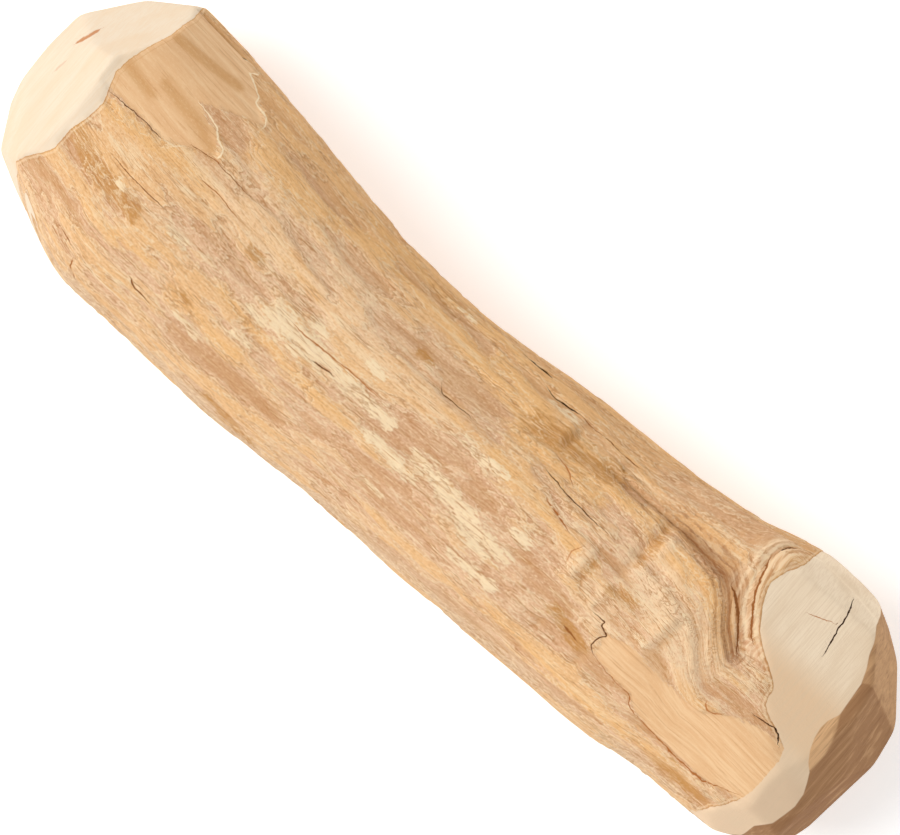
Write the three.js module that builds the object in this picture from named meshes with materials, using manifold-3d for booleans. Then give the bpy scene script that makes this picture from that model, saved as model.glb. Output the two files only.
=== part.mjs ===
// Coffee wood chew: one short length of peeled coffee branch, grown as a single piece.
// Both ends are sawn and sanded to blunt facets. The plain end is at -X, and at +X the stub
// of a side branch is cut away flush. Millimetres, +Z up, the log lies along X.
import * as THREE from 'three';
import { mergeVertices } from 'three/addons/utils/BufferGeometryUtils.js';
import Module from 'manifold-3d';

const wasm = await Module();
wasm.setup();

// Driving dimensions

// The uncut log at stations along X: near side (-Y), far side (+Y), underside and crown.
// The sides bend in a long S, and the underside is arched between two places it rests on.
const STATIONS = [
  { x: -108, near: -16.5, far: 29.4, under: 3.0, crown: 46.0 },
  { x: -88, near: -22.9, far: 28.9, under: 1.2, crown: 49.0 },
  { x: -73, near: -27.5, far: 27.8, under: 0.0, crown: 51.0 },
  { x: -58, near: -28.0, far: 25.8, under: -0.6, crown: 51.0 },
  { x: -42, near: -28.8, far: 23.0, under: 0.2, crown: 49.5 },
  { x: -27, near: -28.6, far: 21.1, under: 1.2, crown: 48.5 },
  { x: -8, near: -27.6, far: 20.3, under: 1.8, crown: 48.0 },
  { x: 15, near: -27.9, far: 22.0, under: 1.4, crown: 48.5 },
  { x: 38, near: -27.5, far: 22.9, under: 0.2, crown: 49.5 },
  { x: 57, near: -27.5, far: 25.2, under: -0.6, crown: 50.5 },
  { x: 73, near: -26.0, far: 28.8, under: 0.0, crown: 51.0 },
  { x: 88, near: -25.8, far: 28.1, under: 1.5, crown: 50.0 },
  { x: 108, near: -24.5, far: 25.5, under: 4.0, crown: 47.0 },
];
const SKIN_RADIUS = 25; // turns an angle round the log into millimetres over its skin
const LENGTH_STEPS = 66;
const QUARTER_STEPS = 15; // steps over each quarter of the girth

// Places on the skin are [x, round]: round is the way over the skin from the crown, towards +Y.
// The side branch parts from the trunk as a lobe that swells towards its stub.
const BRANCH = {
  path: [[28, 24], [48, 21.5], [66, 17.5], [96, 14.5]],
  height: 7, halfWidth: 10, grownAt: 0.74,
};
// Trunk and branch meet in a fold that deepens towards the stub.
const CROTCH = {
  path: [[33, 19.5], [45, 17.2], [52, 15], [59, 12.8], [63, 9.5], [66, 5.5], [70, 1.5]],
  shallow: 0.8, deep: 3.4, halfWidth: 2.6,
};
// The bark healed round the stub in a rim, with a groove outside it.
const COLLAR = {
  path: [[69, 32], [65.2, 27], [63.6, 22], [64, 17], [65.8, 12.5], [69, 8]],
  depth: 1.2, halfWidth: 1.5,
};
// Wrinkles across the fold and shallow hollows and swells of the trunk.
const SWELLS = [
  { at: [25, 17.5], long: 6, round: 3.5, height: -1.0 },
  { at: [37, -1.5], long: 2.6, round: 5.5, height: 0.6 },
  { at: [44.5, 9], long: 2.2, round: 8, height: -0.8 },
  { at: [56.5, -3.5], long: 3, round: 6, height: 0.8 },
  { at: [42, -17], long: 5, round: 4, height: -0.7 },
  { at: [-78, 19], long: 12, round: 12, height: -0.7 },
  { at: [70, -14], long: 17, round: 6, height: -0.8 },
  { at: [-20, 12], long: 30, round: 9, height: 0.5 },
];
// Long flutes of the bare wood round the girth, gone at the underside.
const FLUTES = [
  { lobes: 3, height: 0.45, twist: 0.018, start: 0.6 },
  { lobes: 5, height: 0.35, twist: -0.03, start: 1.9 },
  { lobes: 8, height: 0.2, twist: 0.045, start: 0.2 },
];

// Facets: azimuth from the end's own axis towards +Y and elevation, both of the outward
// normal in degrees, and a point that the facet passes through.
const PLAIN_END = [
  { azimuth: -5, elevation: 27, at: [-91.6, -3.5, 47.5] },
  { azimuth: 1, elevation: 20, at: [-105, 2, 18] },
  { azimuth: 35, elevation: 21, at: [-96.2, 23.4, 20] },
  { azimuth: 56, elevation: 2, at: [-92.3, 26, 20] },
  { azimuth: -23, elevation: 14, at: [-102, -12, 18] },
  { azimuth: -62, elevation: 9, at: [-95, -19.8, 20] },
  { azimuth: 0, elevation: -25, at: [-105, 2, 17] },
  { azimuth: 40, elevation: -25, at: [-98, 21, 17] },
  { azimuth: -45, elevation: -25, at: [-99, -17, 17] },
  { azimuth: 0, elevation: -58, at: [-88, 0, 1.5] },
];
const STUB_END = [
  { azimuth: 30, elevation: 65, at: [83, -1.6, 50] },
  { azimuth: 76, elevation: 42, at: [77, 25, 46.5] },
  { azimuth: -25, elevation: 38, at: [91.3, -8.7, 48] },
  { azimuth: -62, elevation: 22, at: [88.5, -20.6, 40] },
  { azimuth: 0, elevation: 33, at: [96.2, 0, 42] },
  { azimuth: 57, elevation: 6, at: [90, 26.6, 18] },
  { azimuth: 38, elevation: 14, at: [98, 19, 18] },
  { azimuth: 14, elevation: 21, at: [105.4, 9, 18] },
  { azimuth: -8, elevation: 12, at: [103.8, -4, 18] },
  { azimuth: -42, elevation: 3, at: [101, -19.6, 18] },
  { azimuth: -57, elevation: 5, at: [92.9, -24.7, 18] },
  { azimuth: 5, elevation: -28, at: [104.4, 3, 16] },
  { azimuth: 45, elevation: -28, at: [97, 20, 16] },
  { azimuth: -45, elevation: -28, at: [99.6, -19.6, 16] },
  { azimuth: 0, elevation: -58, at: [92, 0, 2] },
];
const CUTTER = 200; // a cutting block is far larger than the log

// Form of the uncut log

// One column of the stations at x, on a smooth line through all of them.
function station(x, column) {
  const last = STATIONS.length - 1;
  let i = 0;
  while (i < last - 1 && x > STATIONS[i + 1].x) i += 1;
  const slope = (k) => {
    const a = STATIONS[Math.max(k - 1, 0)];
    const b = STATIONS[Math.min(k + 1, last)];
    return (b[column] - a[column]) / (b.x - a.x);
  };
  const from = STATIONS[i];
  const to = STATIONS[i + 1];
  const span = to.x - from.x;
  const t = (x - from.x) / span;
  const rise = t * t * (3 - 2 * t);
  const bend = t * (1 - t) * span * ((1 - t) * slope(i) - t * slope(i + 1));
  return from[column] + (to[column] - from[column]) * rise + bend;
}

// How far a place on the skin is from a path, and how far along the path (0 to 1) it is.
function nearPath(path, x, round) {
  const place = new THREE.Vector2(x, round);
  let away = Infinity;
  let along = 0;
  for (let i = 0; i < path.length - 1; i += 1) {
    const start = new THREE.Vector2(...path[i]);
    const step = new THREE.Vector2(...path[i + 1]).sub(start);
    const t = THREE.MathUtils.clamp(place.clone().sub(start).dot(step) / step.lengthSq(), 0, 1);
    const distance = place.distanceTo(start.addScaledVector(step, t));
    if (distance < away) {
      away = distance;
      along = (i + t) / (path.length - 1);
    }
  }
  return { away, along };
}

// Height of the skin over the plain rounded log.
function relief(x, angle) {
  const round = SKIN_RADIUS * angle;
  const branch = nearPath(BRANCH.path, x, round);
  const grown = THREE.MathUtils.smoothstep(branch.along, 0, BRANCH.grownAt);
  let height = BRANCH.height * grown * Math.exp(-((branch.away / BRANCH.halfWidth) ** 4));

  const crotch = nearPath(CROTCH.path, x, round);
  const fold = CROTCH.shallow + (CROTCH.deep - CROTCH.shallow) * Math.sin(Math.PI * crotch.along);
  height -= fold * Math.exp(-((crotch.away / CROTCH.halfWidth) ** 2));

  const collar = nearPath(COLLAR.path, x, round);
  height -= COLLAR.depth * Math.exp(-((collar.away / COLLAR.halfWidth) ** 2));

  for (const swell of SWELLS) {
    const along = (x - swell.at[0]) / swell.long;
    const across = (round - swell.at[1]) / swell.round;
    height += swell.height * Math.exp(-(along ** 2) - across ** 2);
  }
  const offUnderside = (1 + Math.cos(angle)) / 2;
  for (const flute of FLUTES) {
    const wave = Math.sin(flute.lobes * angle + flute.twist * x + flute.start);
    height += offUnderside * flute.height * wave;
  }
  return height;
}

// A point of the log: x along it, angle from the crown towards +Y, depth 1 on the skin.
function logPoint(x, angle, depth) {
  const near = station(x, 'near');
  const far = station(x, 'far');
  const under = station(x, 'under');
  const crown = station(x, 'crown');
  const height = relief(x, angle);
  return new THREE.Vector3(
    x,
    (near + far) / 2 + depth * ((far - near) / 2 + height) * Math.sin(angle),
    (under + crown) / 2 + depth * ((crown - under) / 2 + height) * Math.cos(angle),
  );
}

// Solids

function solidOf(geometry) {
  const plain = geometry.clone();
  plain.deleteAttribute('normal');
  plain.deleteAttribute('uv');
  const merged = mergeVertices(plain);
  return new wasm.Manifold(new wasm.Mesh({
    numProp: 3,
    vertProperties: new Float32Array(merged.attributes.position.array),
    triVerts: new Uint32Array(merged.index.array),
  }));
}

function geometryOf(solid) {
  const mesh = solid.getMesh();
  const geometry = new THREE.BufferGeometry();
  geometry.setAttribute('position', new THREE.BufferAttribute(mesh.vertProperties, 3));
  geometry.setIndex(new THREE.BufferAttribute(mesh.triVerts, 1));
  geometry.computeVertexNormals();
  return geometry;
}

// A closed box whose four sides are wrapped round the log, so that it has no poles.
function uncutLog() {
  const geometry = new THREE.BoxGeometry(2, 2, 2, LENGTH_STEPS, QUARTER_STEPS, QUARTER_STEPS);
  const corners = geometry.attributes.position;
  const quarter = Math.PI / 4;
  const firstX = STATIONS[0].x;
  const lastX = STATIONS[STATIONS.length - 1].x;
  for (let i = 0; i < corners.count; i += 1) {
    const y = corners.getY(i);
    const z = corners.getZ(i);
    const depth = Math.max(Math.abs(y), Math.abs(z));
    let angle = 0;
    if (Math.abs(y) > Math.abs(z)) {
      angle = Math.sign(y) * 2 * quarter - quarter * (z / y);
    } else if (depth > 0) {
      angle = quarter * (y / z) + (z < 0 ? (y < 0 ? -Math.PI : Math.PI) : 0);
    }
    const x = THREE.MathUtils.mapLinear(corners.getX(i), -1, 1, firstX, lastX);
    corners.setXYZ(i, ...logPoint(x, angle, depth).toArray());
  }
  return solidOf(geometry);
}

// A block whose flat side lies on a facet, with the wood to cut away inside it.
function facetBlock(facet, end) {
  const azimuth = THREE.MathUtils.degToRad(facet.azimuth);
  const elevation = THREE.MathUtils.degToRad(facet.elevation);
  const outward = new THREE.Vector3(
    end * Math.cos(azimuth) * Math.cos(elevation),
    Math.sin(azimuth) * Math.cos(elevation),
    Math.sin(elevation),
  );
  const geometry = new THREE.BoxGeometry(CUTTER, CUTTER, CUTTER);
  geometry.translate(CUTTER / 2, 0, 0);
  geometry.applyQuaternion(
    new THREE.Quaternion().setFromUnitVectors(new THREE.Vector3(1, 0, 0), outward),
  );
  geometry.translate(...facet.at);
  return solidOf(geometry);
}

// The underside is rubbed flat where the log lies, in two small spots.
function floorBlock() {
  const geometry = new THREE.BoxGeometry(2 * CUTTER, CUTTER, CUTTER);
  geometry.translate(0, 0, -CUTTER / 2);
  return solidOf(geometry);
}

function sawnLog() {
  let log = uncutLog().subtract(floorBlock());
  for (const facet of PLAIN_END) log = log.subtract(facetBlock(facet, -1));
  for (const facet of STUB_END) log = log.subtract(facetBlock(facet, 1));
  return geometryOf(log);
}

const wood = new THREE.MeshStandardMaterial({ color: 0xe0ba94, roughness: 0.72, metalness: 0 });
const log = new THREE.Mesh(sawnLog(), wood);
log.name = 'coffee_wood_chew';

const part = new THREE.Group();
part.add(log);

export default part;
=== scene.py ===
import math

import bmesh
import bpy
import numpy as np
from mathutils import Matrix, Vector, noise


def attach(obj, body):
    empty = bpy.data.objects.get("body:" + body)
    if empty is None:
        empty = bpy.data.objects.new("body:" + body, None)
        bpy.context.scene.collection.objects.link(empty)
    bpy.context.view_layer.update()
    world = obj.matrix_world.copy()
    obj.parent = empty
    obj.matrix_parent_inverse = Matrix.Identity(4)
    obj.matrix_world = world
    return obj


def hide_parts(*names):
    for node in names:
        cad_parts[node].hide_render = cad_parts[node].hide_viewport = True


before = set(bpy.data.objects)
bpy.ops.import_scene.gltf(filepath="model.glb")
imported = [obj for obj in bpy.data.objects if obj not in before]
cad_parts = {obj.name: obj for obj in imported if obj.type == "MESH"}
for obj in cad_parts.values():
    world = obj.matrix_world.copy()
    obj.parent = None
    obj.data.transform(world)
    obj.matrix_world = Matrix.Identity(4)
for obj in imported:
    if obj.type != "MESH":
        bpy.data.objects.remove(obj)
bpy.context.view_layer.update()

# The grown log
# One length of coffee branch, peeled of its bark and dried. Its line and girth follow the tree:
# a long S bend, with a side branch that swells out beside the trunk towards +X.

NODE = "coffee_wood_chew"
MM = 0.001                      # lengths are in millimetres until a mesh is made or the camera placed
SKIN_RADIUS = 25.0              # turns an angle round the log into millimetres over its skin
LENGTH_CUTS = 289
SIDE_CUTS = 71                  # over each quarter of the girth

# x, near side (-Y), far side (+Y), underside and crown of the uncut log
STATIONS = np.array([
    (-108, -16.5, 29.4, 3.0, 46.0),
    (-88, -22.9, 28.9, 1.2, 49.0),
    (-73, -27.5, 27.8, 0.0, 51.0),
    (-58, -28.0, 25.8, -0.6, 51.0),
    (-42, -28.8, 23.0, 0.2, 49.5),
    (-27, -28.6, 21.1, 1.2, 48.5),
    (-8, -27.6, 20.3, 1.8, 48.0),
    (15, -27.9, 22.0, 1.4, 48.5),
    (38, -27.5, 22.9, 0.2, 49.5),
    (57, -27.5, 25.2, -0.6, 50.5),
    (73, -26.0, 28.8, 0.0, 51.0),
    (88, -25.8, 28.1, 1.5, 50.0),
    (108, -24.5, 25.5, 4.0, 47.0),
])
NEAR, FAR, UNDER, CROWN = 1, 2, 3, 4

# Places on the skin are (x, round): round is the way over the skin from the crown, towards +Y.
BRANCH_PATH = [(28, 24), (48, 21.5), (66, 17.5), (96, 14.5)]
BRANCH_HEIGHT = 7.0
BRANCH_HALF_WIDTH = 10.0
BRANCH_GROWN_AT = 0.74
CROTCH_PATH = [(33, 19.5), (45, 17.2), (52, 15), (59, 12.8), (63, 9.5), (66, 5.5), (70, 1.5)]
CROTCH_SHALLOW = 0.8
CROTCH_DEEP = 3.4
CROTCH_HALF_WIDTH = 2.6
COLLAR_PATH = [
    (69, 26), (66, 23.4), (63.9, 20.4), (63.4, 16.6), (64, 13.6), (65.2, 11), (66.8, 8.9), (69.9, 6.1),
]
COLLAR_DEPTH = 0.5
COLLAR_HALF_WIDTH = 1.5

# Swells and hollows: x, round, half length, half width, height
SWELLS = [
    (25, 17.5, 6, 3.5, -1.0),
    (37, -1.5, 2.6, 5.5, 0.6),
    (44.5, 9, 2.2, 8, -0.8),
    (56.5, -3.5, 3, 6, 0.8),
    (42, -17, 5, 4, -0.7),
    (-78, 19, 12, 12, -0.7),
    (70, -14, 17, 6, -0.8),
    (-20, 12, 30, 9, 0.5),
]
# Flutes: lobes, height, twist along the log, start
FLUTES = [
    (3, 0.45, 0.018, 0.6),
    (5, 0.35, -0.03, 1.9),
    (8, 0.2, 0.045, 0.2),
]


def smooth(value, low, high):
    """A soft step from 0 at low to 1 at high."""
    t = np.clip((value - low) / (high - low), 0, 1)
    return t * t * (3 - 2 * t)


def station(x, column):
    """One column of the stations at x, on a smooth line through all of them."""
    at, value = STATIONS[:, 0], STATIONS[:, column]
    slope = np.empty_like(value)
    slope[1:-1] = (value[2:] - value[:-2]) / (at[2:] - at[:-2])
    slope[[0, -1]] = (value[1] - value[0]) / (at[1] - at[0]), (value[-1] - value[-2]) / (at[-1] - at[-2])
    i = np.clip(np.searchsorted(at, x) - 1, 0, len(at) - 2)
    span = at[i + 1] - at[i]
    t = (x - at[i]) / span
    bend = t * (1 - t) * span * ((1 - t) * slope[i] - t * slope[i + 1])
    return value[i] + (value[i + 1] - value[i]) * t * t * (3 - 2 * t) + bend


def near_path(path, x, across):
    """Distance from a path, how far along it (0 to 1), and the side of it as a signed distance."""
    away = np.full(x.shape, np.inf)
    along = np.zeros(x.shape)
    side = np.zeros(x.shape)
    legs = len(path) - 1
    for i in range(legs):
        step = np.subtract(path[i + 1], path[i])
        dx, dy = x - path[i][0], across - path[i][1]
        t = np.clip((dx * step[0] + dy * step[1]) / (step @ step), 0, 1)
        distance = np.hypot(dx - t * step[0], dy - t * step[1])
        turn = np.sign(step[0] * dy - step[1] * dx)
        closer = distance < away
        away = np.where(closer, distance, away)
        along = np.where(closer, (i + t) / legs, along)
        side = np.where(closer, distance * turn, side)
    return away, along, side


def grown_relief(x, angle):
    """Height of the skin over the plain rounded log: branch, fold, collar, swells and flutes."""
    over = SKIN_RADIUS * angle
    away, along, _ = near_path(BRANCH_PATH, x, over)
    height = BRANCH_HEIGHT * smooth(along, 0, BRANCH_GROWN_AT) * np.exp(-(away / BRANCH_HALF_WIDTH) ** 4)
    away, along, _ = near_path(CROTCH_PATH, x, over)
    fold = CROTCH_SHALLOW + (CROTCH_DEEP - CROTCH_SHALLOW) * np.sin(np.pi * along)
    height -= fold * np.exp(-(away / CROTCH_HALF_WIDTH) ** 2)
    away = near_path(COLLAR_PATH, x, over)[0]
    height -= COLLAR_DEPTH * np.exp(-(away / COLLAR_HALF_WIDTH) ** 2)
    for at_x, at_round, half_long, half_wide, tall in SWELLS:
        height += tall * np.exp(-((x - at_x) / half_long) ** 2 - ((over - at_round) / half_wide) ** 2)
    off_underside = (1 + np.cos(angle)) / 2
    for lobes, tall, twist, start in FLUTES:
        height += off_underside * tall * np.sin(lobes * angle + twist * x + start)
    return height


log = bmesh.new()
bmesh.ops.create_cube(log, size=2)
for axis, cuts in ((0, LENGTH_CUTS), (1, SIDE_CUTS), (2, SIDE_CUTS)):
    along_axis = [e for e in log.edges if abs((e.verts[1].co - e.verts[0].co)[axis]) > 0.001]
    bmesh.ops.subdivide_edges(log, edges=along_axis, cuts=cuts, use_grid_fill=True)

# The cube's four sides wrap round the log, so it has no poles, and its ends close it.
cube = np.array([v.co[:] for v in log.verts])
depth = np.maximum(abs(cube[:, 1]), abs(cube[:, 2]))
safe = np.maximum(depth, 1e-9)
sideways = abs(cube[:, 1]) > abs(cube[:, 2])
turned_side = np.sign(cube[:, 1]) * np.pi / 2 - np.pi / 4 * cube[:, 2] / np.where(sideways, cube[:, 1], 1)
turned_top = np.pi / 4 * cube[:, 1] / np.where(sideways, safe, np.where(cube[:, 2] == 0, 1, cube[:, 2]))
turned_top += np.where(cube[:, 2] < 0, np.where(cube[:, 1] < 0, -np.pi, np.pi), 0)
angle = np.where(sideways, turned_side, turned_top)
x = np.interp(cube[:, 0], (-1, 1), (STATIONS[0, 0], STATIONS[-1, 0]))
over = SKIN_RADIUS * angle

# The torn skin
# Where the bark was peeled, thin layers of the wood came away with it and left low ragged
# steps, long grain ridges and a few open cracks. Two places were then sanded smooth.

# Lines on the skin: path, half width, tone (-1 black gap, -0.5 brown, 1 pale torn edge), depth
LINES = [
    ([(-88.5, 33.6), (-80, 34), (-74.5, 33.6)], 0.42, -1.0, 0.9),
    ([(-71, 33), (-70.7, 31), (-72, 29.5), (-70, 27.5), (-67.5, 25.3), (-67.2, 23), (-64, 22),
      (-62.7, 20), (-63, 18.8)], 0.17, 1.0, -0.2),
    ([(-75, 13.3), (-71, 13), (-69, 12.3), (-67.5, 11), (-65.5, 10.2), (-65, 9), (-66, 8)], 0.16, 1.0, -0.2),
    ([(-89, 1.6), (-85, 2.3), (-81, 3.3), (-78, 3.6), (-75.5, 3.8)], 0.08, -0.85, 0.3),
    ([(-75.5, 3.8), (-73, 4.5), (-71.5, 6)], 0.13, 0.7, 0.0),
    ([(-71, 7.1), (-67, 7.9), (-65, 8.1), (-60, 8.2), (-55, 8.3)], 0.08, -0.7, 0.3),
    ([(-65, 4.1), (-60, 4.3), (-54.5, 3.9)], 0.09, -0.6, 0.2),
    ([(-80, -5), (-74, -4.7), (-69, -4.2), (-66.5, -4.2)], 0.08, -0.75, 0.3),
    ([(-80, -24.1), (-76, -24)], 0.2, -0.7, 0.3),
    ([(-74, -26.5), (-73.5, -29), (-70.8, -32)], 0.16, -0.65, 0.3),
    ([(-63, -19), (-61.5, -20), (-57, -20.2)], 0.14, -0.75, 0.3),
    ([(-70, -24.5), (-64, -24.3), (-60, -25), (-56, -26.5)], 0.2, 0.7, -0.2),
    ([(-26.5, -4.5), (-24, -4.2), (-22, -4)], 0.12, -0.8, 0.3),
    ([(-34, -1.9), (-29, -1.8), (-20, -1.2), (-12, -1.6)], 0.12, -0.5, 0.2),
    ([(-5, 8.4), (-4, 7.3), (-1, 7.2), (3, 7.0)], 0.1, -0.8, 0.3),
    ([(0.4, 29.5), (4.4, 29.1), (8.1, 28.8), (10, 28.4)], 0.4, -1.0, 0.6),
    ([(10.1, 24.5), (13.1, 23.8), (15.9, 24.1), (18, 24.2)], 0.09, -1.0, 0.4),
    ([(19, 24.1), (25, 23.8), (30, 23.3), (34, 23)], 0.1, -0.7, 0.4),
    ([(20, 8.2), (25, 7.3), (30, 6.8), (36, 6.2)], 0.1, -0.85, 0.3),
    ([(22.5, 4.6), (26, 4.2), (30, 3.2)], 0.12, 0.6, -0.1),
    ([(24, 3.8), (27, 3.2), (31, 2.0)], 0.14, -0.6, 0.2),
    ([(20, 12), (22.5, 11.6), (24, 11), (26, 9.4)], 0.13, -0.55, 0.2),
    ([(42.5, -13.7), (44, -14), (46, -14.5)], 0.24, -0.7, 0.3),
    ([(45, -7), (47.6, -7), (47.5, -8), (49.8, -9), (48.7, -10.5), (48.7, -12.5), (50, -14.3)],
     0.13, -0.85, 0.4),
    ([(50, -14.3), (53, -15), (57, -16), (60, -16.5), (62, -18.5), (66, -20.5), (70, -21.5),
      (75, -22.2), (82, -22), (86, -20), (89, -18.5)], 0.1, -0.6, 0.3),
    ([(80.4, -4.7), (83.2, -4), (84.9, -3.8), (86.6, -4.7)], 0.11, -0.9, 0.3),
    ([(84.9, -3.8), (86.3, -4.2), (87.2, -5.2)], 0.2, -1.0, 0.6),
    ([(72, -8.4), (73.4, -9.4), (74.6, -9.2), (76, -8)], 0.14, -0.5, 0.1),
    ([(66, 23), (64.8, 22.4), (64.3, 21.6), (63.8, 20.1)], 0.13, -0.9, 0.3),
    ([(63.2, 17.4), (63.5, 15.7), (64.1, 13.6), (65, 11.5), (66.1, 9.9), (67.4, 8.5), (69.5, 6.3),
      (71.1, 4.9)], 0.16, -0.72, 0.3),
    ([(70.3, 1.9), (68, 5), (65.9, 7.3), (63.4, 9.5), (61.2, 11.3)], 0.17, -0.8, 0.4),
    ([(47, 12.2), (48.2, 11.4), (51, 11.2)], 0.14, 0.7, -0.1),
    ([(34.6, -2.5), (34, -0.4), (35, 1.6)], 0.1, -0.4, 0.1),
]
LINE_REACH = 1.1                # how far round a line its own fields are kept
LINE_GROOVE = 0.5               # how far from a line its depth spreads

# Smoothly sanded patches, each a closed outline on the skin
SANDED = [
    [(-92, 35), (-71, 33), (-72, 29.5), (-67.5, 25.3), (-63, 20), (-68, 17.5), (-75, 13.3), (-67.5, 11),
     (-65.5, 8.5), (-71.5, 6), (-75.5, 3.8), (-81, 3.3), (-92, 1.6)],
    [(49, -8.5), (56, -7.4), (62, -9.3), (72, -10.8), (76, -8), (80, -6.2), (85, -5), (92, -5),
     (92, -18.5), (86, -20.3), (82, -22), (75, -22), (66, -20.3), (60, -16.4), (50, -14.2)],
]
SANDED_DROP = 0.35
SANDED_SMOOTHNESS = 0.9         # the share of the torn skin's relief that the belt took off

# Colour patches on the skin: half width, strength, path
OCHRE = [
    (3.4, 0.8, [(-60, 15), (-45, 16.5)]),
    (2.6, 1.0, [(-45, 18), (-26, 22.7), (-19.4, 22), (-8.6, 19.9), (-2.5, 18), (6.9, 15.8), (14.5, 14.2)]),
    (2.6, 0.8, [(-35, 28), (-5, 27.5)]),
    (2.2, 0.6, [(-55, -14), (-38, -14.5)]),
    (1.8, 0.9, [(-5.6, 30.9), (2.9, 26.5)]),
    (1.4, 0.8, [(-2.3, 4.2), (2.6, 5.1)]),
    (2.6, 0.9, [(20, 18), (30, 16.5)]),
    (4.0, 0.9, [(12, 11.5), (30, 11.5)]),
    (2.6, 0.8, [(0, 22), (10, 19), (20, 13.5), (29, 12.5)]),
    (1.4, 0.8, [(0, 7), (12, 4), (22, 2.6), (34, 0.4)]),
    (2.6, 0.7, [(46, 10), (58, 9.5), (64, 5.5), (67, 1)]),
    (2.0, 0.6, [(31, 14), (44, 14.5)]),
    (2.6, 0.5, [(30, -22), (60, -24), (80, -26)]),
    (2.2, 0.9, [(-87, -0.5), (-77, 1.9), (-68, 3.8), (-60, 3.1)]),
    (1.8, 0.9, [(-48, 5.3), (-41, 6), (-34, 5.5)]),
    (1.5, 0.6, [(-48, -7), (-30, -8.5), (-14, -9.5)]),
    (1.4, 0.5, [(-80, -15), (-62, -13)]),
]
MAUVE_AND_SHADE_PATCHES = [
    (1.8, 0.9, [(-45, 9.6), (-38, 9), (-32, 7.8)]),
    (1.6, 0.8, [(-68, 6.6), (-58, 7)]),
    (1.0, 0.9, [(-60, -2), (-50, -1.8), (-40, -1.6)]),
    (1.0, 0.7, [(-55, 20.6), (-38, 20)]),
    (1.4, 0.9, [(19, 7), (24, 5.6), (30, 3)]),
    (1.2, 0.7, [(66, -5.4), (72, -7)]),
    (1.8, 0.8, [(28, -6.5), (38, -9), (46, -12.5)]),
    (1.6, 0.7, [(12, -2.4), (22, -4.6), (34, -4)]),
    (1.8, 0.7, [(-10, -6.6), (0, -6.8)]),
    (2.6, 0.9, [(-22.5, 10.4), (-13, 10.6)]),
    (2.6, 0.9, [(-13, 15.2), (-7.2, 13.2), (-0.6, 10.4)]),
    (1.5, 0.9, [(-10.7, 25.4), (-2.7, 22.6)]),
    (2.2, 0.8, [(-3.4, 7.8), (2.6, 7.2), (8.2, 6.2)]),
    (1.6, 0.7, [(-5.3, -0.1), (4.6, -1.8)]),
    (1.6, 0.6, [(-26, 23.5), (-12, 24)]),
    (1.6, 0.6, [(-90, -18), (-80, -17)]),
    (1.4, 0.6, [(30, 17.5), (38, 17)]),
    (1.2, 0.7, [(46, -1), (52, -1.4)]),
    (1.2, 0.5, [(57, 3), (60, -1.6), (64, -4.4)]),
    # painted shade: darkens the upturned top of the lobe beyond the fold
    (6.0, 1.0, [(42, 26), (62, 25)]),
]


def inside_outline(outline, x, across):
    """Distance inside a closed outline: positive within it, negative outside."""
    away = near_path(outline + outline[:1], x, across)[0]
    within = np.zeros(x.shape, bool)
    for (ax, ay), (bx, by) in zip(outline, outline[1:] + outline[:1]):
        if ay != by:
            crosses = ((ay > across) != (by > across)) & (x < (bx - ax) * (across - ay) / (by - ay) + ax)
            within ^= crosses
    return np.where(within, away, -away)


def patch_field(patches, x, across):
    """1 in the middle of the patches, 0 at their rims and down to -1 away from them."""
    field = np.full(x.shape, -1.0)
    for half_width, strength, path in patches:
        away = near_path(path, x, across)[0]
        field = np.maximum(field, strength * (1 - away / half_width))
    return field


NOISE_FALLOFF = 0.7
NOISE_STEP = 2.1
LAYER_SHIFT = np.array((17.3, 5.1, 9.7))


def grain_noise(place, long, wide, layer, octaves):
    """Noise drawn out along the grain: long and wide are its lengths in millimetres."""
    scaled = place / (long, wide, wide) + LAYER_SHIFT * layer
    return np.array([noise.fractal(Vector(p), NOISE_FALLOFF, NOISE_STEP, octaves) for p in scaled])


def tapered(along, blunt):
    """A line's width at each place along it, as a share: it thins out towards both ends."""
    return np.clip(4 * np.minimum(along + blunt, 1 + blunt - along), 0, 1) ** 0.5


def line_fields(x, across):
    """The nearest line's side, half width and tone, and the height that all the lines give."""
    nearest = np.full(x.shape, np.inf)
    side, width, tone, height = (np.zeros(x.shape) for _ in range(4))
    for path, half_width, line_tone, deep in LINES:
        away, along, signed = near_path(path, x, across)
        taper = tapered(along, 0.02)
        height -= deep * taper * np.exp(-(away / LINE_GROOVE) ** 2)
        closer = away < nearest
        nearest = np.where(closer, away, nearest)
        side = np.where(closer, signed, side)
        width = np.where(closer, half_width * taper * (away < LINE_REACH), width)
        tone = np.where(closer, line_tone, tone)
    return side, width, tone, height


# The fibres swing with the fold, which lies at this round at each x, and run straight far from it.
FOLD_X = [20, 33, 45, 52, 59, 63, 66, 70, 90]
FOLD_ROUND = [20, 19.5, 17.2, 15, 12.8, 9.5, 5.5, 1.5, 0]
SWING_FROM = -26
SWING_BEYOND = 16


def straightened(x, angle, radius):
    """Places with the grain along x and a round girth: the fibres swing round the side branch."""
    over = SKIN_RADIUS * angle
    fold_at = np.interp(x, FOLD_X, FOLD_ROUND)
    beyond_fold = 1 - smooth(over, fold_at, fold_at + SWING_BEYOND)
    fade = np.where(over < fold_at, smooth(over, SWING_FROM, fold_at), beyond_fold)
    swung = (over + (FOLD_ROUND[0] - fold_at) * fade) / SKIN_RADIUS
    return np.stack([x, radius * np.sin(swung), radius * np.cos(swung)], axis=1)


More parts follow.
